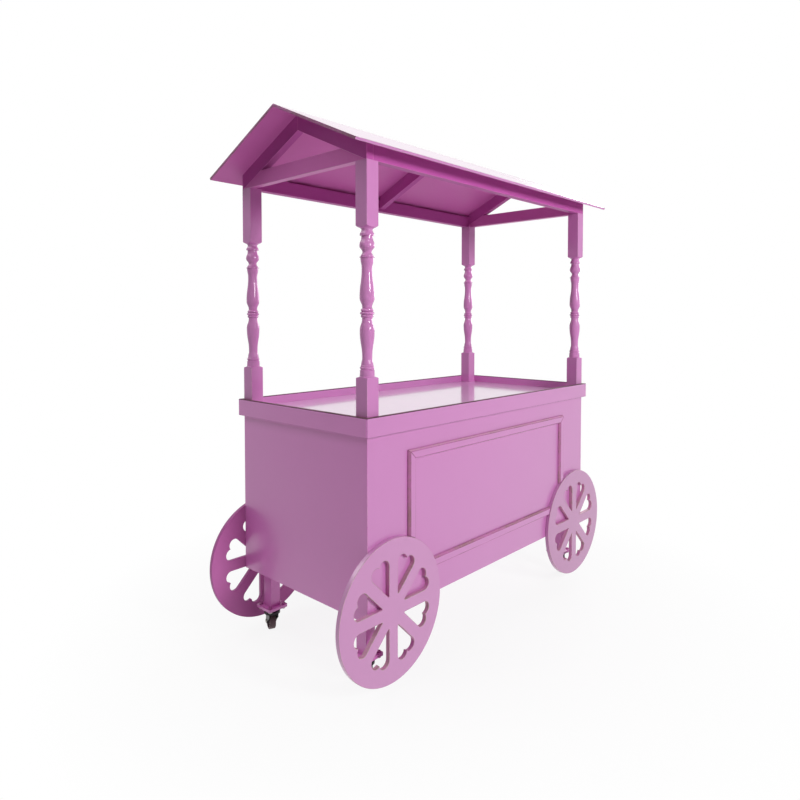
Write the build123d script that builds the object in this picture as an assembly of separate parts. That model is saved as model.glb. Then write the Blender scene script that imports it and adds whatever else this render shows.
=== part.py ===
from build123d import *
import math
import os

# Market display cart, in millimetres with +Z up.
# The origin lies on the floor under the middle of the cart. The length runs along X,
# and the moulded front faces -Y. The rear, where the seller stands, is open to the shelf.

# Counter and the fascia that rises above it as a rim
rim_length = 1430.0
rim_depth = 702.0
rim_height = 891.0              # top of the rim above the floor
rim_upstand = 31.5              # how far the rim stands above the counter
counter_thickness = 16.0
fascia_height = 61.0
fascia_thickness = 16.0
fascia_corner_radius = 5.0
fascia_edge_radius = 2.0

# Cabinet
panel_thickness = 16.0
cabinet_bottom = 244.0          # underside of the cabinet above the floor
floor_thickness = 18.0
lower_bay_height = 289.0        # from the cabinet floor to the shelf
shelf_thickness = 16.0
housing_depth = 6.0             # groove that the shelf's edges sit in
housing_gap = 0.4
rear_opening_width = 720.0
rear_rail_height = 60.0

# Raised picture-frame moulding on the front panel
moulding_end_margin = 183.0     # from the cabinet's ends to the moulding's outer edge
moulding_top_margin = 67.0      # from the fascia's lower edge
moulding_bottom_margin = 94.0   # from the cabinet's underside
moulding_width = 35.0
moulding_thickness = 12.0
moulding_square = 3.0           # square edge against the panel
moulding_bevel = 5.5
scribe_gap = 0.5                # between the moulding's scribed ends and a wheel

# Decorative wheels with heart cut-outs, fixed flat on the cabinet
heart_wheel_diameter = 468.0
heart_wheel_thickness = 16.0
heart_count = 8
spoke_width = 40.0
heart_lobe_radius = 22.0
heart_lobe_offset = 19.0        # from the heart's middle line to a lobe's centre
heart_tip_radius = 2.5
heart_wheel_edge = 1.0
# Where each wheel was fixed: from the cabinet's end to its centre, and its height
heart_wheel_places = {
    "front_left": (101.5, 258.0),
    "front_right": (90.0, 261.5),
    "rear_left": (90.0, 265.5),
    "rear_right": (93.0, 262.0),
}

# Turned corner posts
post_section = 50.0
headroom = 789.0                # from the rim's top to the underside of the beams
foot_block_rise = 117.5         # rim's top to where the foot block's corners turn in
block_over_corner = 0.8         # how far the turning stands clear of the block's corners
head_block_rise = 595.0         # rim's top to where the head block is square
# Each step of the turning: its height above the rim's top and its depth below the
# block's face. A neck or belly is met by a smooth sweep, an edge by a straight cut, and
# a bead by a half round that ends at its last point.
turning_steps = (
    ("sweep", (125.0, 1.2)),
    ("edge", (143.5, 2.0)),
    ("edge", (145.0, 4.0)),
    ("edge", (147.0, 4.0)),
    ("bead", (151.0, 1.8), (155.0, 4.4)),
    ("edge", (158.0, 4.4)),
    ("edge", (159.5, 5.6)),
    ("sweep", (181.0, 9.0)),
    ("sweep", (267.0, 1.6)),
    ("sweep", (304.0, 8.8)),
    ("edge", (306.5, 8.8)),
    ("bead", (311.4, 5.0), (316.2, 7.4)),
    ("bead", (321.0, 2.4), (325.8, 7.4)),
    ("bead", (330.6, 5.0), (335.5, 9.4)),
    ("edge", (338.0, 9.4)),
    ("sweep", (370.0, 1.3)),
    ("sweep", (460.0, 8.0)),
    ("sweep", (492.5, 4.2)),
    ("edge", (493.0, 1.0)),
    ("edge", (495.0, 1.0)),
    ("edge", (497.0, 5.0)),
    ("sweep", (509.0, 10.3)),
    ("sweep", (530.0, 1.0)),
    ("sweep", (556.0, 7.0)),
    ("edge", (560.0, 7.0)),
    ("edge", (560.5, 2.2)),
    ("edge", (563.0, 2.2)),
    ("sweep", (578.0, 7.5)),
)

# Canopy frame and roof
beam_height = 52.0
beam_thickness = 31.0
truss_thickness = 28.0
rafter_depth = 50.0
middle_rafter_shift = 14.0      # the middle pair stands to one side of the centre line
roof_slope = 24.8               # degrees
roof_board_thickness = 9.0
roof_end_overhang = 101.0
roof_eave_overhang = 60.0

# Legs and their foot plates
leg_width = 40.0                # along the cart
leg_depth = 46.0                # across the cart
leg_end_inset = 46.0            # from the cabinet's ends
leg_side_inset = 54.0           # from the cabinet's front and rear
foot_plate_size = 84.0
foot_plate_corner = 6.0
foot_plate_thickness = 6.0
leg_screw_spacing = 22.0
leg_screw_diameter = 5.5
leg_screw_head = 11.0
leg_screw_length = 62.0

# Swivel casters
caster_height = 93.0            # floor to the underside of the caster's plate
caster_plate_thickness = 4.0
caster_bolt_inset = 12.0        # from the plate's edges to a bolt's centre
caster_bolt_diameter = 8.0
bolt_clearance = 0.3            # radial
bolt_head_width = 13.0          # across the flats
bolt_head_height = 5.3
nut_height = 6.5
bolt_tail = 1.5                 # thread showing under the nut
race_diameter = 54.0
race_height = 6.0
swivel_gap = 0.3                # between the fixed race and the turning fork
kingpin_diameter = 12.0
kingpin_head_diameter = 18.0
kingpin_head_height = 3.0
running_clearance = 0.05        # radial, shaft in hole
fork_head_diameter = 60.0
fork_head_height = 16.0
fork_head_skirt = 9.0
fork_head_taper = 6.0
cheek_thickness = 2.5
cheek_drop = 12.0               # plumb stretch of a cheek's leading edge
cheek_boss_radius = 10.0
caster_trail = 20.0             # from the swivel's axis back to the axle
caster_wheel_diameter = 65.0
caster_wheel_width = 24.0
tread_round = 3.0
wheel_web_width = 10.0
wheel_hub_radius = 9.5
wheel_hub_width = 29.0
wheel_rim_inner_radius = 23.0
hub_side_gap = 1.0
axle_diameter = 8.0
axle_head_diameter = 13.0
axle_head_height = 3.0

# The way each caster trails at rest, in degrees from +X towards +Y
caster_headings = {
    "front_left": 58.0,
    "front_right": 255.0,
    "rear_left": 68.0,
    "rear_right": 160.0,
}

ends = (("left", -1), ("right", 1))
faces = (("front", -1), ("rear", 1))

# Lines that several pieces share
body_x = rim_length / 2 - fascia_thickness
body_y = rim_depth / 2 - fascia_thickness
inner_x = body_x - panel_thickness
inner_y = body_y - panel_thickness
counter_top = rim_height - rim_upstand
counter_under = counter_top - counter_thickness
fascia_bottom = rim_height - fascia_height
floor_top = cabinet_bottom + floor_thickness
shelf_bottom = floor_top + lower_bay_height
post_x = body_x - post_section / 2
post_y = body_y - post_section / 2
beam_bottom = rim_height + headroom
beam_top = beam_bottom + beam_height
slope = math.radians(roof_slope)
board_drop = roof_board_thickness / math.cos(slope)
rafter_drop = rafter_depth / math.cos(slope)
rafter_peak = beam_top + body_y * math.tan(slope)
ridge_top = rafter_peak + board_drop
leg_x = body_x - leg_end_inset - leg_width / 2
leg_y = body_y - leg_side_inset - leg_depth / 2
foot_plate_bottom = caster_height + caster_plate_thickness
foot_plate_top = foot_plate_bottom + foot_plate_thickness
bolt_offset = foot_plate_size / 2 - caster_bolt_inset
race_bottom = caster_height - race_height
fork_head_top = race_bottom - swivel_gap
fork_head_bottom = fork_head_top - fork_head_height
cheek_inner = wheel_hub_width / 2 + hub_side_gap
caster_wheel_radius = caster_wheel_diameter / 2


def block(x_span, y_span, z_span):
    # A rectangular piece between three pairs of coordinates
    spans = (x_span, y_span, z_span)
    centre = [(low + high) / 2 for low, high in spans]
    size = [high - low for low, high in spans]
    return Pos(*centre) * Box(*size)


def between(first, second):
    return (min(first, second), max(first, second))


def prism_along_x(outline, x_low, x_high):
    # A YZ outline carried along the cart
    face = Plane.YZ.offset(x_low) * make_face(Polyline(*outline, close=True))
    return extrude(face, amount=x_high - x_low)


def plate_facing_front(sketch, y_back, thickness):
    # An XZ sketch whose back lies at y_back and that is thickened towards the front
    return Pos(0, y_back, 0) * extrude(Plane.XZ * sketch, amount=thickness)


def turned(outline):
    # A solid of revolution about Z from (radius, height) edges that close on themselves
    return revolve(Plane.XZ * make_face(outline), axis=Axis.Z)


def closed_outline(points):
    return Polyline(*points, close=True)


def mirrored_to_rear(shape):
    return mirror(shape, about=Plane.XZ)


def end_panel(side):
    panel = block(between(side * inner_x, side * body_x), (-inner_y, inner_y),
                  (cabinet_bottom, counter_under))
    groove_top = shelf_bottom + shelf_thickness + housing_gap
    groove = block(between(side * inner_x, side * (inner_x + housing_depth)),
                   (-inner_y, inner_y), (shelf_bottom, groove_top))
    return panel - groove


def front_panel():
    panel = block((-body_x, body_x), (-body_y, -inner_y), (cabinet_bottom, counter_under))
    groove_top = shelf_bottom + shelf_thickness + housing_gap
    reach = inner_x + housing_depth
    groove = block((-reach, reach), (-inner_y - housing_depth, -inner_y),
                   (shelf_bottom, groove_top))
    return panel - groove


def rear_panel(side):
    return block(between(side * rear_opening_width / 2, side * body_x), (inner_y, body_y),
                 (cabinet_bottom, counter_under))


def rear_top_rail():
    half_opening = rear_opening_width / 2
    return block((-half_opening, half_opening), (inner_y, body_y),
                 (counter_under - rear_rail_height, counter_under))


def leg_screw_places():
    # Two screws in each leg, side by side along the cart
    for _, facing in faces:
        for _, side in ends:
            for step in (-0.5, 0.5):
                yield (side * leg_x + step * leg_screw_spacing, facing * leg_y)


def leg_screw():
    # Countersunk wood screw with its head flush in the cabinet floor
    shank = leg_screw_diameter / 2
    head = leg_screw_head / 2
    return turned(closed_outline([
        (0, floor_top),
        (head, floor_top),
        (shank, floor_top - (head - shank)),
        (shank, floor_top - leg_screw_length + leg_screw_diameter),
        (0, floor_top - leg_screw_length),
    ]))


def at_leg_screws(shape):
    return [Pos(x, y, 0) * shape for x, y in leg_screw_places()]


def cabinet_floor():
    board = block((-inner_x, inner_x), (-inner_y, inner_y), (cabinet_bottom, floor_top))
    return board - at_leg_screws(leg_screw())


def shelf():
    reach = housing_depth - housing_gap
    return block((-inner_x - reach, inner_x + reach), (-inner_y - reach, inner_y),
                 (shelf_bottom, shelf_bottom + shelf_thickness))


def counter_board():
    # Notched at its corners, where the posts pass through to the panels' upper edges
    board = block((-body_x, body_x), (-body_y, body_y), (counter_under, counter_top))
    middle = (counter_under + counter_top) / 2
    notch = Box(post_section, post_section, counter_thickness)
    return board - [Pos(side * post_x, facing * post_y, middle) * notch
                    for _, facing in faces for _, side in ends]


def fascia_ring():
    outer = Rectangle(rim_length, rim_depth)
    outer = fillet(outer.vertices(), fascia_corner_radius)
    ring = extrude(outer - Rectangle(2 * body_x, 2 * body_y), amount=fascia_height)
    top_edges = ring.edges().filter_by_position(Axis.Z, fascia_height, fascia_height)
    ring = fillet(top_edges, fascia_edge_radius)
    return Pos(0, 0, fascia_bottom) * ring


def fascia_boards():
    # The ring is cut at its mitred corners into four boards
    ring = fascia_ring()
    reach = rim_length
    half_x, half_y = rim_length / 2, rim_depth / 2
    run = half_x - half_y
    long_wedge = [(-half_x, -half_y), (half_x, -half_y), (run, 0), (-run, 0)]
    short_wedge = [(-half_x, -half_y), (-run, 0), (-half_x, half_y)]
    cuts = {}
    for name, wedge in (("front", long_wedge), ("left", short_wedge)):
        sketch = make_face(Polyline(*wedge, close=True))
        cuts[name] = extrude(sketch, amount=reach)
    front = ring & cuts["front"]
    left = ring & cuts["left"]
    return {
        "front": front,
        "rear": mirror(front, about=Plane.XZ),
        "left": left,
        "right": mirror(left, about=Plane.YZ),
    }


def moulding_outline():
    # Half length, half height and centre height of the moulding's outer rectangle
    top = fascia_bottom - moulding_top_margin
    bottom = cabinet_bottom + moulding_bottom_margin
    return body_x - moulding_end_margin, (top - bottom) / 2, (top + bottom) / 2


def moulding_bar(length):
    # One bevelled bar with mitred ends, its outer edge along X at z = 0
    profile = [
        (0, 0),
        (-moulding_square, 0),
        (-moulding_thickness, -moulding_bevel),
        (-moulding_thickness, moulding_bevel - moulding_width),
        (-moulding_square, -moulding_width),
        (0, -moulding_width),
    ]
    bar = prism_along_x(profile, -length / 2, length / 2)
    mitre = Polyline((-length / 2, 0), (length / 2, 0),
                     (length / 2 - moulding_width, -moulding_width),
                     (moulding_width - length / 2, -moulding_width), close=True)
    return bar & plate_facing_front(make_face(mitre), 0, moulding_thickness)


def moulding_bars():
    half_length, half_height, middle = moulding_outline()
    places = {
        "top": (2 * half_length, Pos(0, -body_y, middle + half_height)),
        "bottom": (2 * half_length, Pos(0, -body_y, middle - half_height) * Rot(0, 180, 0)),
        "left": (2 * half_height, Pos(-half_length, -body_y, middle) * Rot(0, -90, 0)),
        "right": (2 * half_height, Pos(half_length, -body_y, middle) * Rot(0, 90, 0)),
    }
    # The lower ends are scribed round the decorative wheels
    scribe = Circle(heart_wheel_diameter / 2 + scribe_gap)
    cutters = []
    for end_name, side in ends:
        inset, height = heart_wheel_places[f"front_{end_name}"]
        circle = Pos(side * (body_x - inset), height) * scribe
        cutters.append(plate_facing_front(circle, -body_y, moulding_thickness))
    return {name: place * moulding_bar(length) - cutters
            for name, (length, place) in places.items()}


def heart():
    # One cut-out pointing at the hub. Its straight sides run parallel to the spokes
    # beside it, and its two lobes are tangent to them.
    half_sector = math.pi / heart_count
    sine, cosine = math.sin(half_sector), math.cos(half_sector)
    tip = spoke_width / 2 / sine
    lobe_centre = tip + (heart_lobe_offset * cosine + heart_lobe_radius) / sine
    side_x = lobe_centre - heart_lobe_radius * sine
    side_y = heart_lobe_offset + heart_lobe_radius * cosine
    wedge = make_face(Polyline((tip, 0), (side_x, side_y), (lobe_centre, heart_lobe_offset),
                               (lobe_centre, -heart_lobe_offset), (side_x, -side_y),
                               close=True))
    outline = wedge
    for side in (-1, 1):
        outline += Pos(lobe_centre, side * heart_lobe_offset) * Circle(heart_lobe_radius)
    tip_corner = outline.vertices().sort_by(Axis.X)[0]
    return fillet(tip_corner, heart_tip_radius)


def heart_wheel(side, place):
    # Flat disc wheel on the cabinet's front face, one spoke upright
    inset, height = place
    disc = Circle(heart_wheel_diameter / 2)
    for turn in range(heart_count):
        disc -= Rot(0, 0, (turn + 0.5) * 360 / heart_count) * heart()
    wheel = extrude(Plane.XZ * disc, amount=heart_wheel_thickness)
    rim_edges = wheel.edges().filter_by(GeomType.CIRCLE).sort_by(SortBy.RADIUS)[-2:]
    wheel = chamfer(rim_edges, heart_wheel_edge)
    return Pos(side * (body_x - inset), -body_y, height) * wheel


def upright_curve(low, high):
    # A smooth step that starts and ends upright
    middle = (low[1] + high[1]) / 2
    return Bezier(low, (low[0], middle), (high[0], middle), high)


def post_profile():
    # From the foot block's clearance up through the turning to the head block's
    face = post_section / 2
    clear = math.hypot(face, face) + block_over_corner
    foot = counter_under - rim_height
    start, end = (clear, foot_block_rise), (clear, head_block_rise)
    edges = [Line((0, foot), (clear, foot)), Line((clear, foot), start)]
    last = start
    for kind, *steps in turning_steps:
        points = [(face - depth, rise) for rise, depth in steps]
        if kind == "sweep":
            edges.append(upright_curve(last, *points))
        elif kind == "bead":
            edges.append(ThreePointArc(last, *points))
        else:
            edges.append(Line(last, *points))
        last = points[-1]
    return edges + [
        upright_curve(last, end),
        Line(end, (clear, headroom)),
        Line((clear, headroom), (0, headroom)),
        Line((0, headroom), (0, foot)),
    ]


def corner_post(side, facing):
    # Square stock turned between its two blocks
    turning = turned(post_profile())
    stock = block((-post_section / 2, post_section / 2), (-post_section / 2, post_section / 2),
                  (counter_under - rim_height, headroom))
    return Pos(side * post_x, facing * post_y, rim_height) * (turning & stock)


def eave_beam(facing):
    # Runs between the end trusses, on the heads of the posts
    run = body_x - truss_thickness
    return block((-run, run), between(facing * body_y, facing * (body_y - beam_thickness)),
                 (beam_bottom, beam_top))


def rafter_under(distance):
    # Height of a rafter's lower edge at a distance from the ridge
    return rafter_peak - rafter_drop - distance * math.tan(slope)


def truss_span(side):
    return between(side * body_x, side * (body_x - truss_thickness))


def tie_foot():
    # Half length of the tie beam along its underside, under the rafters' lower edges
    return min(body_y, (rafter_under(0) - beam_bottom) / math.tan(slope))


def tie_beam(side):
    low = tie_foot()
    high = (rafter_under(0) - beam_top) / math.tan(slope)
    outline = [(-low, beam_bottom), (low, beam_bottom), (high, beam_top), (-high, beam_top)]
    return prism_along_x(outline, *truss_span(side))


def end_rafter(side):
    # From the ridge to the corner, its foot on the head of the post
    heel = body_y
    outline = [
        (0, rafter_peak),
        (-heel, beam_top),
        (-heel, beam_bottom),
        (-tie_foot(), beam_bottom),
        (0, rafter_under(0)),
    ]
    return prism_along_x(outline, *truss_span(side))


def middle_rafter():
    # Butts against the inner face of the eave beam
    heel = body_y - beam_thickness
    outline = [
        (0, rafter_peak),
        (-heel, rafter_peak - heel * math.tan(slope)),
        (-heel, rafter_under(heel)),
        (0, rafter_under(0)),
    ]
    half = truss_thickness / 2
    return prism_along_x(outline, middle_rafter_shift - half, middle_rafter_shift + half)


def roof_board():
    # The front slope, mitred plumb at the ridge and square at the eave
    eave = body_y + roof_eave_overhang
    eave_top = ridge_top - eave * math.tan(slope)
    inset = roof_board_thickness * math.sin(slope)
    outline = [
        (0, ridge_top),
        (-eave, eave_top),
        (-eave + inset, eave_top - roof_board_thickness * math.cos(slope)),
        (0, rafter_peak),
    ]
    reach = body_x + roof_end_overhang
    return prism_along_x(outline, -reach, reach)


def bolt_places():
    for along in (-bolt_offset, bolt_offset):
        for across in (-bolt_offset, bolt_offset):
            yield (along, across)


def foot_square(z_low, z_high):
    # A square plate with the caster's four bolt holes, centred on the leg
    outline = RectangleRounded(foot_plate_size, foot_plate_size, foot_plate_corner)
    hole = Circle(caster_bolt_diameter / 2 + bolt_clearance)
    outline -= [Pos(x, y) * hole for x, y in bolt_places()]
    return Pos(0, 0, z_low) * extrude(outline, amount=z_high - z_low)


def leg(side, facing):
    # Leg with its foot plate glued on as one piece
    post = block((-leg_width / 2, leg_width / 2), (-leg_depth / 2, leg_depth / 2),
                 (foot_plate_top, cabinet_bottom))
    whole = post + foot_square(foot_plate_bottom, foot_plate_top)
    placed = Pos(side * leg_x, facing * leg_y, 0) * whole
    return placed - at_leg_screws(leg_screw())


def caster_plate():
    return foot_square(caster_height, foot_plate_bottom)


def caster_bolt():
    # Hexagon bolt from above, its nut under the caster's plate
    head = extrude(RegularPolygon(bolt_head_width / 2, 6, major_radius=False),
                   amount=bolt_head_height)
    low = caster_height - nut_height - bolt_tail
    shank = Cylinder(caster_bolt_diameter / 2, foot_plate_top - low)
    return Pos(0, 0, foot_plate_top) * head + Pos(0, 0, (foot_plate_top + low) / 2) * shank


def caster_nut():
    ring = RegularPolygon(bolt_head_width / 2, 6, major_radius=False)
    ring -= Circle(caster_bolt_diameter / 2)
    return Pos(0, 0, caster_height - nut_height) * extrude(ring, amount=nut_height)


def kingpin():
    # The fixed upper race and the pin riveted through the fork's head
    race = race_diameter / 2
    pin = kingpin_diameter / 2
    head = kingpin_head_diameter / 2
    head_top = fork_head_bottom - swivel_gap
    return turned(closed_outline([
        (0, caster_height),
        (race, caster_height),
        (race, race_bottom),
        (pin, race_bottom),
        (pin, head_top),
        (head, head_top),
        (head, head_top - kingpin_head_height / 2),
        (head - kingpin_head_height / 2, head_top - kingpin_head_height),
        (0, head_top - kingpin_head_height),
    ]))


def caster_fork():
    # A turned head over two cheeks that reach back to the axle
    bore = kingpin_diameter / 2 + running_clearance
    head = fork_head_diameter / 2
    crown = turned(closed_outline([
        (bore, fork_head_bottom),
        (head, fork_head_bottom),
        (head, fork_head_bottom + fork_head_skirt),
        (head - fork_head_taper, fork_head_top),
        (bore, fork_head_top),
    ]))
    chord = math.sqrt(head ** 2 - (cheek_inner + cheek_thickness) ** 2)
    top = fork_head_bottom + fork_head_skirt / 2
    boss = Pos(caster_trail, caster_wheel_radius) * Circle(cheek_boss_radius)
    cheek = make_face(Polyline((-chord, top), (chord, top),
                               (caster_trail + cheek_boss_radius, caster_wheel_radius),
                               (caster_trail - cheek_boss_radius, caster_wheel_radius),
                               (-chord, fork_head_bottom - cheek_drop), close=True)) + boss
    cheek -= Pos(caster_trail, caster_wheel_radius) * Circle(
        axle_diameter / 2 + running_clearance)
    fork = crown
    for side in (-1, 1):
        plate = extrude(Plane.XZ * cheek, amount=cheek_thickness / 2, both=True)
        fork += Pos(0, side * (cheek_inner + cheek_thickness / 2), 0) * plate
    return fork


def across_fork(shape):
    # From a turning about Z to the axle's place behind the swivel
    return Pos(caster_trail, 0, caster_wheel_radius) * Rot(90, 0, 0) * shape


def caster_axle():
    # Riveted pin with a head on each cheek
    pin = axle_diameter / 2
    head = axle_head_diameter / 2
    seat = cheek_inner + cheek_thickness
    end = seat + axle_head_height
    return across_fork(turned(closed_outline([
        (0, -end), (head, -end), (head, -seat), (pin, -seat),
        (pin, seat), (head, seat), (head, end), (0, end),
    ])))


def caster_wheel():
    # Solid wheel with a rounded tread, thin webs and a long hub
    bore = axle_diameter / 2 + running_clearance
    tread = caster_wheel_width / 2
    web = wheel_web_width / 2
    hub = wheel_hub_width / 2
    outer = caster_wheel_radius
    rim = wheel_rim_inner_radius
    half = [
        (bore, hub), (wheel_hub_radius, hub), (wheel_hub_radius, web), (rim, web),
        (rim + tread_round, tread), (outer - tread_round, tread),
    ]
    low = [(radius, -height) for radius, height in reversed(half)]
    bend = tread_round * (1 - math.cos(math.pi / 4))
    arcs = [
        ThreePointArc(half[-1], (outer - bend, tread - bend), (outer, tread - tread_round)),
        Line((outer, tread - tread_round), (outer, tread_round - tread)),
        ThreePointArc((outer, tread_round - tread), (outer - bend, bend - tread), low[0]),
    ]
    outline = [Line(a, b) for a, b in zip(half, half[1:])] + arcs
    outline += [Line(a, b) for a, b in zip(low, low[1:])] + [Line(low[-1], half[0])]
    return across_fork(turned(outline))


def save(name, shape):
    export_step(shape, f"parts/{name}.step")


def save_cabinet():
    for name, side in ends:
        save(f"end_panel_{name}", end_panel(side))
        save(f"rear_panel_{name}", rear_panel(side))
    save("front_panel", front_panel())
    save("rear_top_rail", rear_top_rail())
    save("cabinet_floor", cabinet_floor())
    save("shelf", shelf())
    save("counter_board", counter_board())
    for name, board in fascia_boards().items():
        save(f"fascia_{name}", board)
    for name, bar in moulding_bars().items():
        save(f"moulding_{name}", bar)


def save_canopy():
    for name, facing in faces:
        save(f"eave_beam_{name}", eave_beam(facing))
    for name, side in ends:
        save(f"tie_beam_{name}", tie_beam(side))
        save(f"rafter_front_{name}", end_rafter(side))
        save(f"rafter_rear_{name}", mirrored_to_rear(end_rafter(side)))
    save("rafter_front_middle", middle_rafter())
    save("rafter_rear_middle", mirrored_to_rear(middle_rafter()))
    save("roof_board_front", roof_board())
    save("roof_board_rear", mirrored_to_rear(roof_board()))


def save_corners():
    # What each corner of the cart has: a post, a decorative wheel, a leg and a caster
    bolts, nuts, kingpins = [], [], []
    for face_name, facing in faces:
        for end_name, side in ends:
            corner = f"{face_name}_{end_name}"
            save(f"post_{corner}", corner_post(side, facing))
            wheel = heart_wheel(side, heart_wheel_places[corner])
            save(f"heart_wheel_{corner}", wheel if facing < 0 else mirrored_to_rear(wheel))
            save(f"leg_{corner}", leg(side, facing))
            place = Pos(side * leg_x, facing * leg_y, 0)
            turn = place * Rot(0, 0, caster_headings[corner])
            save(f"caster_plate_{corner}", place * caster_plate())
            save(f"caster_fork_{corner}", turn * caster_fork())
            save(f"caster_axle_{corner}", turn * caster_axle())
            save(f"caster_wheel_{corner}", turn * caster_wheel())
            kingpins.append(place * kingpin())
            bolts += [place * Pos(x, y, 0) * caster_bolt() for x, y in bolt_places()]
            nuts += [place * Pos(x, y, 0) * caster_nut() for x, y in bolt_places()]
    save("caster_kingpins", Compound(children=kingpins))
    save("caster_bolts_and_nuts", Compound(children=bolts + nuts))
    save("leg_screws", Compound(children=at_leg_screws(leg_screw())))


os.makedirs("parts", exist_ok=True)
save_cabinet()
save_canopy()
save_corners()
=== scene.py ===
import math
import bpy
from mathutils import Euler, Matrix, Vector


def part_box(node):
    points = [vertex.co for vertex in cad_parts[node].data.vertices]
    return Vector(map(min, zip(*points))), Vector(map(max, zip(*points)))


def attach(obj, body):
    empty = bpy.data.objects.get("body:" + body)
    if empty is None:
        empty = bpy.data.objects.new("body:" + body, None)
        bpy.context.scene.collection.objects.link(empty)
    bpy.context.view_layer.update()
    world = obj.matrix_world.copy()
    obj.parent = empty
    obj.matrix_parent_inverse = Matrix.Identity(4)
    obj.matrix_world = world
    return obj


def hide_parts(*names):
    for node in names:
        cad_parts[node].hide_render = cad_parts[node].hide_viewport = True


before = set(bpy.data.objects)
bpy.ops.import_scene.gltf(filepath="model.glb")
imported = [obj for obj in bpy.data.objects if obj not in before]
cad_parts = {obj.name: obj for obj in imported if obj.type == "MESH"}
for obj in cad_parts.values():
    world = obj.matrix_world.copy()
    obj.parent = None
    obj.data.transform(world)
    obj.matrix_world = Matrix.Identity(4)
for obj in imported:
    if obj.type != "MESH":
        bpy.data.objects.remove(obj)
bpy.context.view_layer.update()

corners = [(face, end) for face in ("front", "rear") for end in ("left", "right")]
print("frame loaded:", len(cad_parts), "nodes")


# camera at the photograph's place, metres in the cart's own frame

cameraView = {
    "place": (-2.0381, -1.7215, 1.1958),
    "heading": 47.10,        # degrees from +Y towards +X
    "tilt": -1.951,          # degrees above the horizon
    "focalPixels": 629.68,
    "opticalCentre": (401.04, 339.84),
    "frameSize": 800,
}


def makeCamera():
    data = bpy.data.cameras.new("photoCamera")
    camera = bpy.data.objects.new("photoCamera", data)
    bpy.context.scene.collection.objects.link(camera)
    size = cameraView["frameSize"]
    data.sensor_width = 36
    data.lens = cameraView["focalPixels"] / size * data.sensor_width
    data.shift_x = (size / 2 - cameraView["opticalCentre"][0]) / size
    data.shift_y = (cameraView["opticalCentre"][1] - size / 2) / size
    data.clip_start = 0.05
    data.clip_end = 100
    camera.location = cameraView["place"]
    camera.rotation_euler = Euler((math.radians(90 + cameraView["tilt"]), 0,
                                   -math.radians(cameraView["heading"])))
    bpy.context.scene.camera = camera


# small helpers for the modelling below

def deselectAll():
    bpy.ops.object.select_all(action='DESELECT')


def pickOnly(piece):
    deselectAll()
    piece.select_set(True)
    bpy.context.view_layer.objects.active = piece


def applyModifier(piece, kind, **values):
    pickOnly(piece)
    modifier = piece.modifiers.new(kind.title(), kind)
    for key, value in values.items():
        setattr(modifier, key, value)
    bpy.ops.object.modifier_apply(modifier=modifier.name)


def giveMaterials(piece, *materials):
    piece.data.materials.clear()
    for material in materials:
        piece.data.materials.append(material)


meshLimits = {
    "mergeDistance": 1e-6,
    "flatAngle": math.radians(0.4),
    "samePlace": 1e-4,
    "smoothAngle": math.radians(50),
}


def copyOfNode(nodeName, pieceName):
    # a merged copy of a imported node, flat triangles joined back into faces
    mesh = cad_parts[nodeName].data.copy()
    piece = bpy.data.objects.new(pieceName, mesh)
    bpy.context.scene.collection.objects.link(piece)
    pickOnly(piece)
    bpy.ops.mesh.customdata_custom_splitnormals_clear()
    bpy.ops.object.mode_set(mode='EDIT')
    bpy.ops.mesh.select_all(action='SELECT')
    bpy.ops.mesh.remove_doubles(threshold=meshLimits["mergeDistance"])
    bpy.ops.mesh.dissolve_limited(angle_limit=meshLimits["flatAngle"])
    bpy.ops.object.mode_set(mode='OBJECT')
    return piece


def weighEdges(piece, axis, side):
    # only the edges in one plane of the piece are eased, the flush joints stay sharp
    mesh = piece.data
    places = [getattr(vertex.co, axis) for vertex in mesh.vertices]
    plane = min(places) if side == "low" else max(places, key=abs)
    weights = mesh.attributes.new("bevel_weight_edge", 'FLOAT', 'EDGE')
    for edge in mesh.edges:
        isEased = all(abs(places[index] - plane) < meshLimits["samePlace"]
                      for index in edge.vertices)
        weights.data[edge.index].value = float(isEased)


def roundArrises(piece, look):
    # rounded edges in the second material, with the flats kept flat
    applyModifier(piece, 'BEVEL', width=look["width"], segments=2, material=1,
                  limit_method='WEIGHT' if "eased" in look else 'ANGLE',
                  angle_limit=math.radians(look.get("angle", 28)), harden_normals=False,
                  use_clamp_overlap=look.get("clamped", True))
    pickOnly(piece)
    bpy.ops.object.shade_smooth_by_angle(angle=meshLimits["smoothAngle"])
    applyModifier(piece, 'WEIGHTED_NORMAL', keep_sharp=True, weight=80)


def dress(piece, body, slotName, *nodeNames):
    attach(piece, body)
    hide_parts(*nodeNames)


# shared surface effects

socketKinds = {"color": 'NodeSocketColor', "number": 'NodeSocketFloat'}


def newGroup(name, inputs, outputs):
    group = bpy.data.node_groups.new(name, 'ShaderNodeTree')
    for direction, sockets in (('INPUT', inputs), ('OUTPUT', outputs)):
        for label, kind in sockets.items():
            group.interface.new_socket(name=label, in_out=direction,
                                       socket_type=socketKinds[kind])
    return group, group.nodes.new('NodeGroupInput'), group.nodes.new('NodeGroupOutput')


def addNoise(tree, vector, scale, detail=2.0, roughness=0.5):
    noise = tree.nodes.new('ShaderNodeTexNoise')
    noise.inputs['Scale'].default_value = scale
    noise.inputs['Detail'].default_value = detail
    noise.inputs['Roughness'].default_value = roughness
    tree.links.new(vector, noise.inputs['Vector'])
    return noise.outputs['Fac']


def addRange(tree, value, low, high, toLow=0.0, toHigh=1.0):
    spread = tree.nodes.new('ShaderNodeMapRange')
    spread.inputs['From Min'].default_value = low
    spread.inputs['From Max'].default_value = high
    spread.inputs['To Min'].default_value = toLow
    spread.inputs['To Max'].default_value = toHigh
    tree.links.new(value, spread.inputs['Value'])
    return spread.outputs['Result']


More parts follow.
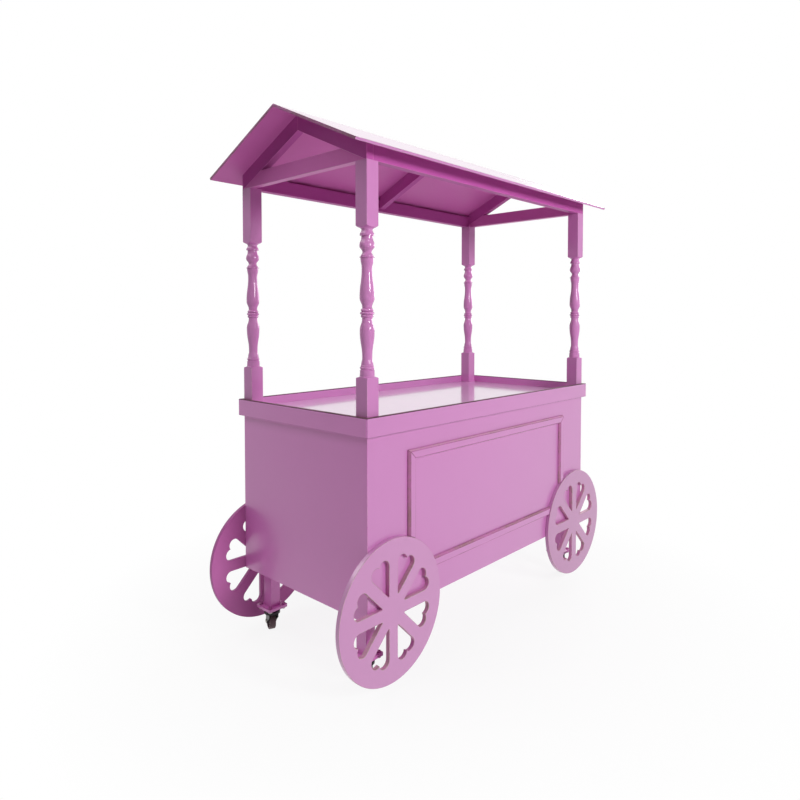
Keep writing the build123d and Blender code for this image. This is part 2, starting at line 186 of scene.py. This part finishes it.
def addMath(tree, operation, first, second=0.0):
    node = tree.nodes.new('ShaderNodeMath')
    node.operation = operation
    for socket, value in zip(node.inputs, (first, second)):
        if isinstance(value, (int, float)):
            socket.default_value = value
        else:
            tree.links.new(value, socket)
    return node.outputs[0]


def addMix(tree, amount, first, second):
    node = tree.nodes.new('ShaderNodeMix')
    node.data_type = 'RGBA'
    for socket, value in ((node.inputs[0], amount), (node.inputs[6], first),
                          (node.inputs[7], second)):
        if isinstance(value, (int, float, tuple)):
            socket.default_value = value
        else:
            tree.links.new(value, socket)
    return node.outputs[2]


# noise as scale, detail and roughness, and the stretch of it that is used
paintGrain = {
    "cloud": (2.4, 4.0, 0.55),
    "cloudRange": (0.35, 0.7),
    "mottle": (34.0, 3.0, 0.6),
    "mottleRange": (0.3, 0.75, 0.7, 1.0),
    "smear": (7.0, 6.0, 0.65),
    "smearRange": (0.35, 0.75),
    "peel": (520.0, 1.0),
    "peelShare": 0.05,
    "wave": (3.2, 1.0),
}


def makeSprayedPaint():
    # gloss paint sprayed over filled board: cloudy tone, faint handling marks, orange peel
    group, given, out = newGroup(
        "sprayedPaint",
        {"Paint": "color", "Cloud": "color", "Clouding": "number", "Gloss": "number",
         "Smears": "number"},
        {"Color": "color", "Roughness": "number", "Height": "number"})
    place = group.nodes.new('ShaderNodeTexCoord').outputs['Object']
    grain = {name: addNoise(group, place, *paintGrain[name])
             for name in ("cloud", "mottle", "smear", "peel", "wave")}
    cloud = addRange(group, grain["cloud"], *paintGrain["cloudRange"])
    mottle = addRange(group, grain["mottle"], *paintGrain["mottleRange"])
    amount = addMath(group, 'MULTIPLY', cloud, mottle)
    amount = addMath(group, 'MULTIPLY', amount, given.outputs['Clouding'])
    color = addMix(group, amount, given.outputs['Paint'], given.outputs['Cloud'])
    smear = addRange(group, grain["smear"], *paintGrain["smearRange"])
    rough = addMath(group, 'MULTIPLY', smear, given.outputs['Smears'])
    rough = addMath(group, 'ADD', rough, given.outputs['Gloss'])
    peel = addMath(group, 'MULTIPLY', grain["peel"], paintGrain["peelShare"])
    height = addMath(group, 'ADD', peel, grain["wave"])
    group.links.new(color, out.inputs['Color'])
    group.links.new(rough, out.inputs['Roughness'])
    group.links.new(height, out.inputs['Height'])
    return group


wearGrain = {
    "long": (6.0, 5.0, 0.6),
    "longShare": 0.65,
    "fine": (70.0, 4.0, 0.6),
    "fineShare": 0.35,
    "thinRange": (0.80, 1.05),
    "bareRange": (0.98, 1.22),
    "thinRoughness": 0.25,
}


def makeEdgeWearAndPaintedLight():
    # paint rubbed thin and pale along an edge, then through to primer, broken up by noise; the
    # same pattern also lays painted light and shade on some faces
    group, given, out = newGroup(
        "arrisWear",
        {"Paint": "color", "Pale": "color", "Primer": "color", "Rubbed": "number",
         "Gloss": "number"},
        {"Color": "color", "Roughness": "number"})
    place = group.nodes.new('ShaderNodeTexCoord').outputs['Object']
    shares = [addMath(group, 'MULTIPLY', addNoise(group, place, *wearGrain[name]),
                      wearGrain[name + "Share"]) for name in ("long", "fine")]
    shifted = addMath(group, 'ADD', addMath(group, 'ADD', *shares), given.outputs['Rubbed'])
    thin = addRange(group, shifted, *wearGrain["thinRange"])
    bare = addRange(group, shifted, *wearGrain["bareRange"])
    color = addMix(group, thin, given.outputs['Paint'], given.outputs['Pale'])
    color = addMix(group, bare, color, given.outputs['Primer'])
    rough = addMath(group, 'MULTIPLY', thin, wearGrain["thinRoughness"])
    rough = addMath(group, 'ADD', rough, given.outputs['Gloss'])
    group.links.new(color, out.inputs['Color'])
    group.links.new(rough, out.inputs['Roughness'])
    return group


sharedEffects = {"sprayedPaint": makeSprayedPaint(), "arrisWear": makeEdgeWearAndPaintedLight()}


def newMaterial(name):
    material = bpy.data.materials.new(name)
    material.use_nodes = True
    tree = material.node_tree
    shader = tree.nodes.get("Principled BSDF")
    return material, tree, shader


def placeEffect(tree, name, values):
    effect = tree.nodes.new('ShaderNodeGroup')
    effect.node_tree = sharedEffects[name]
    for label, value in values.items():
        effect.inputs[label].default_value = value
    return effect


pinkPaint = {
    "paint": (0.600, 0.165, 0.475, 1),
    "pale": (0.68, 0.44, 0.54, 1),
    "primer": (0.17, 0.115, 0.075, 1),
}

peelStrength = 0.35

# how the paint lies: reflection, base roughness, smears in it, cloudy tone, orange peel in
# metres, clear coat
paintLays = {
    "coated": {"specular": 0.5, "gloss": 0.34, "smears": 0.05, "clouding": 0.25,
               "peel": 0.00008, "coat": 1.0, "coatRoughness": 0.28, "coatIor": 1.6},
    "thin": {"specular": 0.5, "gloss": 0.34, "smears": 0.05, "clouding": 0.30,
             "peel": 0.00008, "coat": 0.55, "coatRoughness": 0.24, "coatIor": 1.6},
    "uncoated": {"specular": 0.2, "gloss": 0.38, "smears": 0.06, "clouding": 0.30,
                 "peel": 0.00008, "coat": 0.0, "coatRoughness": 0.3, "coatIor": 1.5},
    "dull": {"specular": 0.1, "gloss": 0.42, "smears": 0.06, "clouding": 0.30,
             "peel": 0.00008, "coat": 0.0, "coatRoughness": 0.3, "coatIor": 1.5},
    "counter": {"specular": 0.5, "gloss": 0.30, "smears": 0.06, "clouding": 0.20,
                "peel": 0.00004, "coat": 1.0, "coatRoughness": 0.10, "coatIor": 1.6},
    "roofTop": {"specular": 0.5, "gloss": 0.30, "smears": 0.04, "clouding": 0.30,
                "peel": 0.00002, "coat": 1.0, "coatRoughness": 0.13, "coatIor": 1.6},
    "turning": {"specular": 0.4, "gloss": 0.10, "smears": 0.04, "clouding": 0.25,
                "peel": 0.00006, "coat": 0.0, "coatRoughness": 0.12, "coatIor": 1.5},
}

# per part: the cart's one pink paint, coloured lighter or darker part by part as painted light
# and shade, its cloudy tone, and how it lies
# darker on the rafters and eave beams, the rear wheels and the far wheel; lighter on the end
# panels, counter, roof top, posts and near wheel
paintLooks = {
    "panel": {"paint": (0.590, 0.186, 0.495, 1), "cloud": (0.540, 0.150, 0.435, 1),
              "lay": "coated"},
    "wheel": {"paint": (0.590, 0.225, 0.500, 1), "cloud": (0.540, 0.185, 0.440, 1),
              "lay": "coated"},
    "farWheel": {"paint": (0.510, 0.185, 0.425, 1), "cloud": (0.460, 0.155, 0.375, 1),
                 "lay": "coated"},
    "rearWheel": {"paint": (0.520, 0.150, 0.400, 1), "cloud": (0.450, 0.115, 0.340, 1),
                  "lay": "uncoated"},
    "endPanel": {"paint": (0.680, 0.198, 0.555, 1), "cloud": (0.610, 0.165, 0.490, 1),
                 "lay": "thin"},
    "counter": {"paint": (0.720, 0.420, 0.670, 1), "cloud": (0.650, 0.345, 0.600, 1),
                "lay": "counter"},
    "canopy": {"paint": (0.650, 0.165, 0.485, 1), "cloud": (0.570, 0.125, 0.410, 1),
               "lay": "uncoated"},
    "rafter": {"paint": (0.500, 0.095, 0.375, 1), "cloud": (0.420, 0.075, 0.310, 1),
               "lay": "dull"},
    "roofTop": {"paint": (0.620, 0.220, 0.520, 1), "cloud": (0.560, 0.180, 0.450, 1),
                "lay": "roofTop"},
    "turning": {"paint": (0.640, 0.222, 0.535, 1), "cloud": (0.570, 0.180, 0.465, 1),
                "lay": "turning"},
}


def makePinkPaint(name, look):
    material, tree, shader = newMaterial(name)
    lay = paintLays[look["lay"]]
    shader.inputs['Specular IOR Level'].default_value = lay["specular"]
    effect = placeEffect(tree, "sprayedPaint", {
        "Paint": look["paint"], "Cloud": look["cloud"],
        "Clouding": lay["clouding"], "Gloss": lay["gloss"], "Smears": lay["smears"]})
    tree.links.new(effect.outputs['Color'], shader.inputs['Base Color'])
    tree.links.new(effect.outputs['Roughness'], shader.inputs['Roughness'])
    bump = tree.nodes.new('ShaderNodeBump')
    bump.inputs['Strength'].default_value = peelStrength
    bump.inputs['Distance'].default_value = lay["peel"]
    tree.links.new(effect.outputs['Height'], bump.inputs['Height'])
    tree.links.new(bump.outputs['Normal'], shader.inputs['Normal'])
    shader.inputs['Coat Weight'].default_value = lay["coat"]
    shader.inputs['Coat Roughness'].default_value = lay["coatRoughness"]
    shader.inputs['Coat IOR'].default_value = lay["coatIor"]
    return material


postPlaces = {
    "centre": (0.674, 0.310),    # of a post, from the middle of the cart
    "halfBlock": 0.025,
    "lineStart": 0.0011,     # the pale line down a block's corner, back from its face
    "lineFull": 0.0004,
}


def makePinkTurning(name, look):
    # the turned posts' paint, with a pale line down the corners of the square blocks: rubbed
    # paint and a painted highlight
    material = makePinkPaint(name, look)
    tree = material.node_tree
    shader = tree.nodes.get("Principled BSDF")
    paint = shader.inputs['Base Color'].links[0].from_socket
    split = tree.nodes.new('ShaderNodeSeparateXYZ')
    tree.links.new(tree.nodes.new('ShaderNodeTexCoord').outputs['Object'], split.inputs[0])
    offsets = []
    for axis, centre in zip(("X", "Y"), postPlaces["centre"]):
        side = addMath(tree, 'ABSOLUTE', split.outputs[axis])
        offsets.append(addMath(tree, 'ABSOLUTE', addMath(tree, 'SUBTRACT', side, centre)))
    corner = addMath(tree, 'MINIMUM', offsets[0], offsets[1])
    line = addRange(tree, corner, postPlaces["halfBlock"] - postPlaces["lineStart"],
                    postPlaces["halfBlock"] - postPlaces["lineFull"])
    # rubbed paint and a painted highlight, down the blocks' corners
    rubbedPaintAndHighlight = placeEffect(tree, "arrisWear", {
        "Paint": pinkPaint["paint"], "Pale": pinkPaint["pale"],
        "Primer": pinkPaint["primer"], "Rubbed": 0.38, "Gloss": 0.25})
    color = addMix(tree, line, paint, rubbedPaintAndHighlight.outputs['Color'])
    tree.links.new(color, shader.inputs['Base Color'])
    return material


def makePinkArris(name, look):
    material, tree, shader = newMaterial(name)
    shader.inputs['Specular IOR Level'].default_value = look.get("specular", 0.3)
    effect = placeEffect(tree, "arrisWear", {
        "Paint": pinkPaint["paint"], "Pale": look["pale"], "Primer": look["primer"],
        "Rubbed": look["rubbed"], "Gloss": 0.3})
    tree.links.new(effect.outputs['Color'], shader.inputs['Base Color'])
    tree.links.new(effect.outputs['Roughness'], shader.inputs['Roughness'])
    return material


# how far each caster is turned about its upright axis at rest, in degrees
casterHeadings = {"front_left": 58, "front_right": 255, "rear_left": 68, "rear_right": 160}

casterWheelLook = {
    "coreRadius": 0.0228,        # the core ends here
    "treadRadius": 0.0234,       # and the tread begins
    "rubber": {"Paint": (0.050, 0.028, 0.032, 1), "Cloud": (0.15, 0.085, 0.095, 1),
               "Clouding": 0.9, "Gloss": 0.5, "Smears": 0.25},
    "core": {"Paint": (0.020, 0.018, 0.020, 1), "Cloud": (0.07, 0.05, 0.055, 1),
             "Clouding": 0.6, "Gloss": 0.3, "Smears": 0.2},
}


def makeCasterWheel(corner):
    # rubber tread round a harder dark core, told apart by the distance from the axle
    material, tree, shader = newMaterial(f"casterWheel{corner.title().replace('_', '')}")
    low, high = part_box(f"caster_wheel_{corner}")
    shift = tree.nodes.new('ShaderNodeVectorMath')
    shift.operation = 'SUBTRACT'
    tree.links.new(tree.nodes.new('ShaderNodeTexCoord').outputs['Object'], shift.inputs[0])
    shift.inputs[1].default_value = [(a + b) / 2 for a, b in zip(low, high)]
    turn = tree.nodes.new('ShaderNodeVectorRotate')
    turn.rotation_type = 'Z_AXIS'
    turn.inputs['Angle'].default_value = -math.radians(casterHeadings[corner])
    tree.links.new(shift.outputs[0], turn.inputs['Vector'])
    split = tree.nodes.new('ShaderNodeSeparateXYZ')
    tree.links.new(turn.outputs[0], split.inputs[0])
    squares = [addMath(tree, 'POWER', addMath(tree, 'ABSOLUTE', split.outputs[axis]), 2.0)
               for axis in ("X", "Z")]
    distance = addMath(tree, 'SQRT', addMath(tree, 'ADD', *squares))
    tread = addRange(tree, distance, casterWheelLook["coreRadius"],
                     casterWheelLook["treadRadius"])
    rubber = placeEffect(tree, "sprayedPaint", casterWheelLook["rubber"])
    core = placeEffect(tree, "sprayedPaint", casterWheelLook["core"])
    color = addMix(tree, tread, core.outputs['Color'], rubber.outputs['Color'])
    tree.links.new(color, shader.inputs['Base Color'])
    tree.links.new(rubber.outputs['Roughness'], shader.inputs['Roughness'])
    return material


boltLook = {
    "sprayedAbove": (0.1029, 0.1031),    # the foot plates' top
    "zinc": {"Paint": (0.50, 0.49, 0.46, 1), "Cloud": (0.24, 0.21, 0.19, 1),
             "Clouding": 0.9, "Gloss": 0.3, "Smears": 0.25},
    "pink": {"Paint": (0.52, 0.13, 0.40, 1), "Cloud": (0.30, 0.08, 0.21, 1),
             "Clouding": 0.9, "Gloss": 0.3, "Smears": 0.2},
    "metallic": 0.85,
}


def makeBoltZinc(name):
    # dull zinc, with the heads above the foot plates sprayed over in the cart's pink
    material, tree, shader = newMaterial(name)
    split = tree.nodes.new('ShaderNodeSeparateXYZ')
    tree.links.new(tree.nodes.new('ShaderNodeTexCoord').outputs['Object'], split.inputs[0])
    sprayed = addRange(tree, split.outputs['Z'], *boltLook["sprayedAbove"])
    zinc = placeEffect(tree, "sprayedPaint", boltLook["zinc"])
    pink = placeEffect(tree, "sprayedPaint", boltLook["pink"])
    color = addMix(tree, sprayed, zinc.outputs['Color'], pink.outputs['Color'])
    tree.links.new(color, shader.inputs['Base Color'])
    tree.links.new(zinc.outputs['Roughness'], shader.inputs['Roughness'])
    unpainted = addMath(tree, 'MULTIPLY', sprayed, boltLook["metallic"])
    tree.links.new(addMath(tree, 'SUBTRACT', boltLook["metallic"], unpainted),
                   shader.inputs['Metallic'])
    return material


def makeSteel(name, look):
    material, tree, shader = newMaterial(name)
    shader.inputs['Specular IOR Level'].default_value = look["specular"]
    effect = placeEffect(tree, "sprayedPaint", {
        "Paint": look["color"], "Cloud": look["grime"], "Clouding": 0.8,
        "Gloss": look["roughness"], "Smears": 0.25})
    tree.links.new(effect.outputs['Color'], shader.inputs['Base Color'])
    tree.links.new(effect.outputs['Roughness'], shader.inputs['Roughness'])
    shader.inputs['Metallic'].default_value = look["metallic"]
    return material


# edge and slope colours laid out with the wear pattern: how far the paint is rubbed, where it
# is thin, where it is bare
arrisLooks = {
    "arris": {"rubbed": 0.36, "pale": pinkPaint["pale"], "primer": pinkPaint["primer"]},
    # painted light: a paler pink on the front wheels' heart walls, which get little light
    "wheelWall": {"rubbed": 0.47, "pale": (0.60, 0.32, 0.42, 1),
                  "primer": (0.38, 0.20, 0.24, 1)},
    "rubbedArris": {"rubbed": 0.52, "pale": (0.60, 0.42, 0.44, 1),
                    "primer": (0.22, 0.13, 0.12, 1), "specular": 0.5},
    "roofEnd": {"rubbed": 0.48, "pale": (0.36, 0.16, 0.26, 1),
                "primer": (0.22, 0.13, 0.14, 1), "specular": 0.1},
    # painted light: pale pink on the top moulding bar's upward slopes
    "paleSlope": {"rubbed": 0.55, "pale": (0.66, 0.33, 0.50, 1),
                  "primer": (0.50, 0.26, 0.36, 1)},
    # painted shade: darker on the other bars' upward and leftward slopes
    "dullSlope": {"rubbed": 0.50, "pale": (0.45, 0.21, 0.30, 1),
                  "primer": (0.32, 0.18, 0.19, 1), "specular": 0.15},
    # painted shade: dark lines along the moulding's eased edges, where creases and contact
    # shadows fall
    "slopeLine": {"rubbed": 0.50, "pale": (0.36, 0.16, 0.24, 1),
                  "primer": (0.25, 0.13, 0.15, 1), "specular": 0.1},
    # near-black on the counter rim's chamfers, dark brown on its level tops
    "bareArris": {"rubbed": 0.74, "pale": (0.22, 0.11, 0.15, 1),
                  "primer": (0.040, 0.020, 0.022, 1), "specular": 0.04},
    "rimTop": {"rubbed": 0.62, "pale": (0.30, 0.12, 0.20, 1),
               "primer": (0.14, 0.065, 0.080, 1), "specular": 0.1},
}

steelLooks = {
    "blackSteel": {"color": (0.010, 0.008, 0.010, 1), "grime": (0.030, 0.018, 0.026, 1),
                   "metallic": 0.0, "roughness": 0.20, "specular": 0.25},
    "zinc": {"color": (0.55, 0.54, 0.50, 1), "grime": (0.30, 0.27, 0.24, 1),
             "metallic": 0.9, "roughness": 0.32, "specular": 0.5},
}


def paintName(name):
    return "pink" + name[0].upper() + name[1:]


finishes = {"bolts": makeBoltZinc("boltZinc")}
for name, look in paintLooks.items():
    makeFinish = makePinkTurning if name == "turning" else makePinkPaint
    finishes[name] = makeFinish(paintName(name), look)
for name, look in arrisLooks.items():
    finishes[name] = makePinkArris(paintName(name), look)
for name, look in steelLooks.items():
    finishes[name] = makeSteel(name, look)
print("materials made:", len(finishes))


# boards and frame pieces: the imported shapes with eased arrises
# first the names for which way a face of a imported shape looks

def isEndwise(normal):
    return abs(normal.x) > 0.9


def isChamfer(normal):
    return 0.2 < abs(normal.y) < 0.95


def isWheelWall(normal):
    return abs(normal.y) < 0.2


def isRimChamfer(normal):
    return 0.15 < normal.z < 0.95


def isLevelTop(normal):
    return normal.z > 0.95


# the heart wheels' own edges: the hearts' tips don't hold back the easing of the rest
wheelEdge = {"width": 0.0015, "angle": 60, "clamped": False}

# per kind: width of the eased edge, the finishes of the flats and of the eased edges, then of
# any other faces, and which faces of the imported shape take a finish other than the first
easedEdges = {
    "panel": {"width": 0.0012, "finishes": ("panel", "arris")},
    # the panels' end faces take the end panels' lighter copy of the paint: painted light
    "facePanel": {"width": 0.0012, "finishes": ("panel", "arris", "endPanel"),
                  "eased": ("y", "outer"), "marks": {2: isEndwise}},
    # the end panels' lighter copy of the paint: painted light
    "endPanel": {"width": 0.0012, "finishes": ("endPanel", "arris"),
                 "eased": ("z", "low")},
    "fascia": {"width": 0.0010, "finishes": ("panel", "bareArris", "rimTop"),
               "marks": {1: isRimChamfer, 2: isLevelTop}},
    # the end fascias too take the end panels' lighter copy: painted light
    "fasciaEnd": {"width": 0.0010, "finishes": ("endPanel", "bareArris", "rimTop"),
                  "marks": {1: isRimChamfer, 2: isLevelTop}},
    "counter": {"width": 0.0008, "finishes": ("counter", "arris")},
    # the moulding: painted shade along the eased edges, painted light on the top bar's upward
    # slopes, painted shade on the other bars' upward and leftward slopes
    "topMoulding": {"width": 0.0016, "finishes": ("panel", "slopeLine", "paleSlope"),
                    "marks": {2: lambda normal: normal.z > 0.1}},
    "moulding": {"width": 0.0016, "finishes": ("panel", "slopeLine", "dullSlope"),
                 "marks": {2: lambda normal: normal.z > 0.1 or normal.x < -0.1}},
    # the front wheels' heart walls take the paler painted-light pink
    "nearWheel": {**wheelEdge, "finishes": ("wheel", "rubbedArris", "wheelWall"),
                  "marks": {1: isChamfer, 2: isWheelWall}, "rim": 0},
    # the far wheel's face in a darker copy of the paint than the near wheel's: painted shade
    "farWheel": {**wheelEdge, "finishes": ("farWheel", "rubbedArris", "wheelWall"),
                 "marks": {1: isChamfer, 2: isWheelWall}, "rim": 0},
    # the rear wheels: front faces and walls in a darker copy of the paint for the cabinet's
    # shade, chamfers in the dark rafter paint, rear faces in the far wheel's lighter copy:
    # painted shade and light
    "rearWheel": {**wheelEdge, "finishes": ("rearWheel", "rafter", "farWheel"),
                  "marks": {1: isChamfer, 2: lambda normal: normal.y > 0.95}},
    "canopy": {"width": 0.0010, "finishes": ("canopy", "arris")},
    # rafters and eave beams in a darker copy of the paint, painted shade under the roof; their
    # eased edges in the canopy's lighter copy
    "rafter": {"width": 0.0010, "finishes": ("rafter", "canopy")},
    # roof boards: top faces in a lighter copy of the paint, front and rear edges in the panels'
    # paler copy: painted light
    "roof": {"width": 0.0010, "finishes": ("canopy", "roofEnd", "roofTop", "panel"),
             "marks": {1: isEndwise,
                       2: lambda normal: normal.z > 0.05,
                       3: lambda normal: abs(normal.y) > 0.8}},
    # legs and caster plates too take the end panels' lighter copy: painted light
    "leg": {"width": 0.0012, "finishes": ("endPanel", "arris")},
}

boardKinds = {
    "panel": ["rear_top_rail", "cabinet_floor", "shelf"],
    "facePanel": ["front_panel", "rear_panel_left", "rear_panel_right"],
    "endPanel": ["end_panel_left", "end_panel_right"],
    "fascia": ["fascia_front", "fascia_rear"],
    "fasciaEnd": ["fascia_left", "fascia_right"],
    "counter": ["counter_board"],
    "topMoulding": ["moulding_top"],
    "moulding": ["moulding_bottom", "moulding_left", "moulding_right"],
    "nearWheel": ["heart_wheel_front_left"],
    "farWheel": ["heart_wheel_front_right"],
    "rearWheel": ["heart_wheel_rear_left", "heart_wheel_rear_right"],
    "canopy": ["tie_beam_left", "tie_beam_right"],
    "rafter": ["eave_beam_front", "eave_beam_rear", "rafter_front_left", "rafter_rear_left",
               "rafter_front_middle", "rafter_rear_middle", "rafter_front_right",
               "rafter_rear_right"],
    "roof": ["roof_board_front", "roof_board_rear"],
    "leg": [f"leg_{face}_{end}" for face, end in corners]
           + [f"caster_plate_{face}_{end}" for face, end in corners],
}


def pieceNameOf(nodeName):
    first, *rest = nodeName.split("_")
    return first + "".join(word.title() for word in rest)


def markFaces(piece, marks):
    for face in piece.data.polygons:
        for index, isMarked in marks.items():
            if isMarked(face.normal):
                face.material_index = index


rimShare = 0.97          # of a wheel's radius, past the hearts


def markRim(piece, index):
    # the round outer wall of a wheel, told from the hearts by its distance from the middle
    box = [Vector(corner) for corner in piece.bound_box]
    middle = (box[0] + box[6]) / 2
    radius = (box[6].z - box[0].z) / 2
    for face in piece.data.polygons:
        offset = face.center - middle
        if isWheelWall(face.normal) and math.hypot(offset.x, offset.z) > rimShare * radius:
            face.material_index = index


def easeBoard(nodeName, kind):
    look = easedEdges[kind]
    piece = copyOfNode(nodeName, pieceNameOf(nodeName))
    giveMaterials(piece, *(finishes[name] for name in look["finishes"]))
    markFaces(piece, look.get("marks", {}))
    if "rim" in look:
        markRim(piece, look["rim"])
    if "eased" in look:
        weighEdges(piece, *look["eased"])
    roundArrises(piece, look)
    slotName = "painted_steel" if nodeName.startswith("caster_plate") else "painted_wood"
    dress(piece, "root", slotName, nodeName)


for kind, nodeNames in boardKinds.items():
    for nodeName in nodeNames:
        easeBoard(nodeName, kind)
    print("eased", kind, len(nodeNames))


# turned posts

for face, end in corners:
    giveMaterials(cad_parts[f"post_{face}_{end}"], finishes["turning"])
print("painted turned posts", len(corners))


# casters

for face, end in corners:
    corner = f"{face}_{end}"
    giveMaterials(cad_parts[f"caster_fork_{corner}"], finishes["blackSteel"])
    giveMaterials(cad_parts[f"caster_axle_{corner}"], finishes["zinc"])
    giveMaterials(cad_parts[f"caster_wheel_{corner}"], makeCasterWheel(corner))
giveMaterials(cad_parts["caster_kingpins"], finishes["zinc"])
giveMaterials(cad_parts["leg_screws"], finishes["zinc"])
giveMaterials(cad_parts["caster_bolts_and_nuts"], finishes["bolts"])
print("finished casters", len(corners))


# floor, backdrop and lamps

stageSizes = {
    "floorSize": 60.0,
    "shadowReach": 0.6,      # metres from the middle where the floor still takes shadow
    "fadeReach": 1.5,
    "shadowShare": 0.12,
    "floorColor": (0.86, 0.86, 0.86, 1),
    "floorRoughness": 0.9,
    # painted light: near the cart the floor glows for rays other than camera, glossy and
    # transmission ones
    "bounce": 0.40,          # light the floor near the cart gives back to it
    "paintedGlowReach": 1.5,
    "paintedGlowFade": 2.5,
    "skyLight": 0.0,         # the white backdrop is seen, but gives no light
}


def isSeenRay(tree):
    # one for camera, glossy and transmission rays
    path = tree.nodes.new('ShaderNodeLightPath')
    seen = addMath(tree, 'ADD', path.outputs['Is Camera Ray'], path.outputs['Is Glossy Ray'])
    seen = addMath(tree, 'ADD', seen, path.outputs['Is Transmission Ray'])
    return addMath(tree, 'MINIMUM', seen, 1.0)


def makeFloor():
    bpy.ops.mesh.primitive_plane_add(size=stageSizes["floorSize"], location=(0, 0, 0))
    floor = bpy.context.active_object
    floor.name = "paleFloor"
    material, tree, shader = newMaterial("paleFloor")
    shader.inputs['Base Color'].default_value = stageSizes["floorColor"]
    shader.inputs['Roughness'].default_value = stageSizes["floorRoughness"]
    shader.inputs['Specular IOR Level'].default_value = 0.0
    glow = tree.nodes.new('ShaderNodeEmission')
    glow.inputs['Strength'].default_value = 1.0
    blend = tree.nodes.new('ShaderNodeMixShader')
    place = tree.nodes.new('ShaderNodeTexCoord').outputs['Object']
    length = tree.nodes.new('ShaderNodeVectorMath')
    length.operation = 'LENGTH'
    tree.links.new(place, length.inputs[0])
    seen = isSeenRay(tree)
    fade = addRange(tree, length.outputs['Value'], stageSizes["shadowReach"],
                    stageSizes["fadeReach"], 1.0 - stageSizes["shadowShare"], 1.0)
    # painted light: the floor's glow near the cart, seen by the cart's diffuse rays
    bounce = addRange(tree, length.outputs['Value'], stageSizes["paintedGlowReach"],
                      stageSizes["paintedGlowFade"], stageSizes["bounce"], 0.0)
    unseen = addMath(tree, 'MULTIPLY', addMath(tree, 'SUBTRACT', 1.0, seen), bounce)
    share = addMath(tree, 'ADD', addMath(tree, 'MULTIPLY', seen, fade), unseen)
    tree.links.new(share, blend.inputs[0])
    tree.links.new(shader.outputs[0], blend.inputs[1])
    tree.links.new(glow.outputs[0], blend.inputs[2])
    tree.links.new(blend.outputs[0], tree.nodes.get("Material Output").inputs['Surface'])
    giveMaterials(floor, material)


def makeSky():
    world = bpy.data.worlds.new("studioSky")
    bpy.context.scene.world = world
    world.use_nodes = True
    tree = world.node_tree
    sky = tree.nodes.get("Background")
    strength = addRange(tree, isSeenRay(tree), 0.0, 1.0, stageSizes["skyLight"], 1.0)
    tree.links.new(strength, sky.inputs['Strength'])
    sky.inputs['Color'].default_value = (1, 1, 1, 1)


lamps = {
    "frontSoftbox": {"place": (-0.3, -4.6, 2.6), "aim": (0, 0, 0.8), "size": (0.8, 1.3),
                     "power": 150, "color": (0.94, 1.0, 0.96)},
    "rightSoftbox": {"place": (4.6, 0.3, 2.6), "aim": (0, 0, 0.9), "size": (2.6, 2.6),
                     "power": 130, "color": (1.0, 1.0, 1.0)},
    "rearSoftbox": {"place": (-2.4, 3.2, 4.6), "aim": (0, 0, 0.9), "size": (2.4, 2.4),
                    "power": 57, "color": (1.0, 1.0, 1.0)},
    "leftSoftbox": {"place": (-3.6, 0.6, 4.6), "aim": (0, 0, 0.8), "size": (2.4, 2.4),
                    "power": 48, "color": (1.0, 1.0, 1.0)},
    "ceilingSpotA": {"place": (-2.3, -1.7, 4.2), "aim": (-0.5, -0.2, 1.2), "size": (0.16, 0.16),
                     "power": 5.0, "color": (1.0, 1.0, 1.0)},
    "ceilingSpotB": {"place": (-1.3, -2.5, 4.2), "aim": (-0.5, -0.2, 1.2), "size": (0.16, 0.16),
                     "power": 5.0, "color": (1.0, 1.0, 1.0)},
    "ceilingSpotC": {"place": (-0.1, -2.9, 4.2), "aim": (-0.5, -0.2, 1.2), "size": (0.16, 0.16),
                     "power": 5.0, "color": (1.0, 1.0, 1.0)},
}


def makeLamp(name, values):
    data = bpy.data.lights.new(name, 'AREA')
    data.shape = 'RECTANGLE'
    data.size, data.size_y = values["size"]
    data.energy = values["power"]
    data.color = values["color"]
    lamp = bpy.data.objects.new(name, data)
    bpy.context.scene.collection.objects.link(lamp)
    lamp.location = values["place"]
    aim = Vector(values["aim"]) - Vector(values["place"])
    lamp.rotation_euler = aim.to_track_quat('-Z', 'Y').to_euler()


makeFloor()
makeSky()
for name, values in lamps.items():
    makeLamp(name, values)
makeCamera()
bpy.context.scene.view_settings.view_transform = 'Standard'
print("stage, lamps and camera set")
